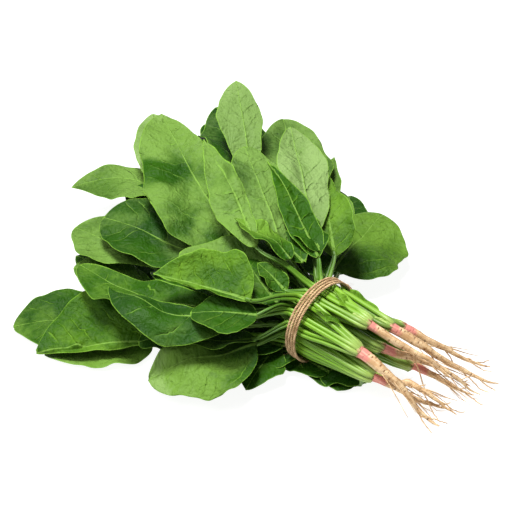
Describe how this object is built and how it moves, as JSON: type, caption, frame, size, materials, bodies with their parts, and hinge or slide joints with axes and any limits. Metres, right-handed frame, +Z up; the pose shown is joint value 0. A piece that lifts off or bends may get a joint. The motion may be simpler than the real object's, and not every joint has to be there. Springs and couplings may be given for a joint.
{
  "type": "spinach bunch",
  "caption": "Bunch of whole spinach plants with taproots, tied round the stalks with twine and laid on its side, the leaves fanned out over each other",
  "frame": {"origin": "middle of the bounding box, on the surface that the bunch lies on", "axes": "+X towards the roots along the bunch, +Y across it, +Z up from the surface"},
  "size_m": [0.3514, 0.2824, 0.0945],
  "materials": {
    "leaf_green": "satin leaf skin, dark green above and pale green below, with pale stalks",
    "root_tan": "matt tan root skin with a pink neck",
    "twine_jute": "matt twisted natural fibre"
  },
  "bodies": {
    "root": {"plant_1_greens": "leaf_green", "plant_2_greens": "leaf_green", "plant_3_greens": "leaf_green", "plant_4_greens": "leaf_green", "plant_5_greens": "leaf_green", "plant_6_greens": "leaf_green", "plant_7_greens": "leaf_green", "plant_8_greens": "leaf_green", "plant_1_root": "root_tan", "plant_2_root": "root_tan", "plant_3_root": "root_tan", "plant_4_root": "root_tan", "plant_5_root": "root_tan", "plant_6_root": "root_tan", "plant_7_root": "root_tan", "plant_8_root": "root_tan", "twine_tie": "twine_jute"}
  },
  "joints": []
}
